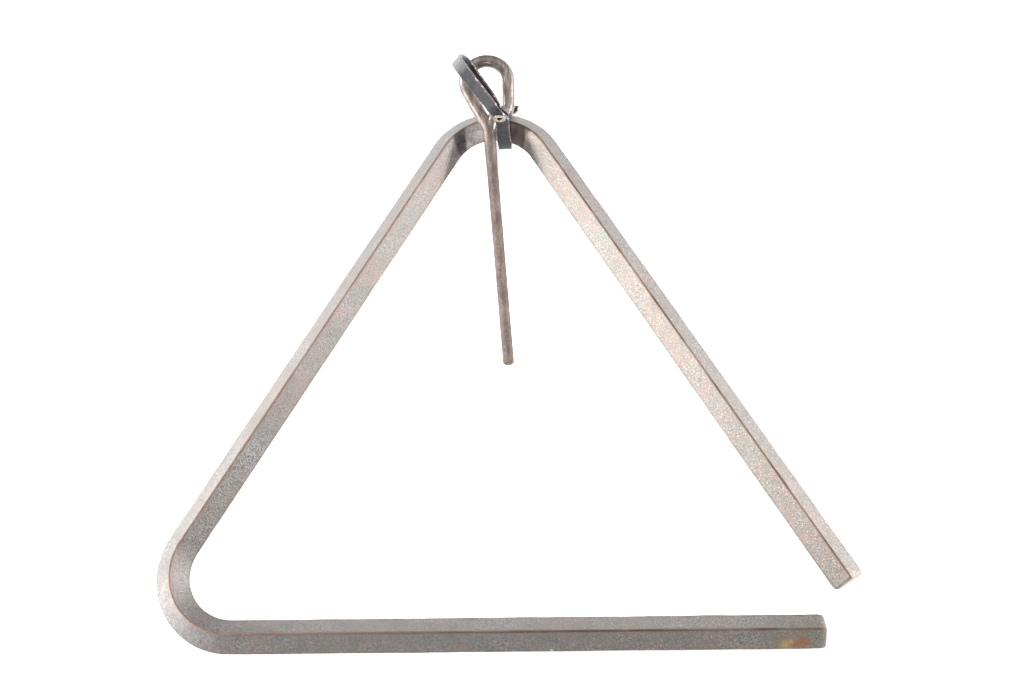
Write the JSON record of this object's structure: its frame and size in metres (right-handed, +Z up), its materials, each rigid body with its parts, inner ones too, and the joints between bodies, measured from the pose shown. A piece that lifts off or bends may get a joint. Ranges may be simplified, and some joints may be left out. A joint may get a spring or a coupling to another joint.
{
  "type": "yard dinner bell",
  "caption": "Open triangle of square steel bar with a leather hanger strap at its top corner and a round-rod striker held in the strap by its eye.",
  "frame": {"origin": "middle of the object's outline seen from above, on the table it lies on", "axes": "+X along the bottom bar towards the open corner, +Y from the bottom bar towards the top corner with the strap, +Z up from the table"},
  "size_m": [0.3582, 0.3312, 0.048],
  "materials": {
    "bar_steel": "worn hot-rolled steel, grey with brown edges and specks of rust",
    "rod_steel": "bare round steel rod, browned and rubbed bright on its eye",
    "strap_leather": "black harness leather, creased and rubbed at its edges",
    "rivet_brass": "pale brass eyelet, dulled"
  },
  "bodies": {
    "triangle": {"triangle_bar": "bar_steel"},
    "hanger": {"hanger_strap": "strap_leather", "tubular_rivet": "rivet_brass"},
    "striker": {"striker": "rod_steel"}
  },
  "joints": [
    {"name": "hanger_swing", "type": "hinge", "parent": "triangle", "child": "hanger", "pos_m": [-0.00574, 0.1297, 0.0118], "axis": [1, 0, 0], "continuous": true},
    {"name": "striker_rock", "type": "hinge", "parent": "hanger", "child": "striker", "pos_m": [-0.00574, 0.1304, 0.02484], "axis": [-1, 0, 0], "range_deg": [0, 27]}
  ]
}
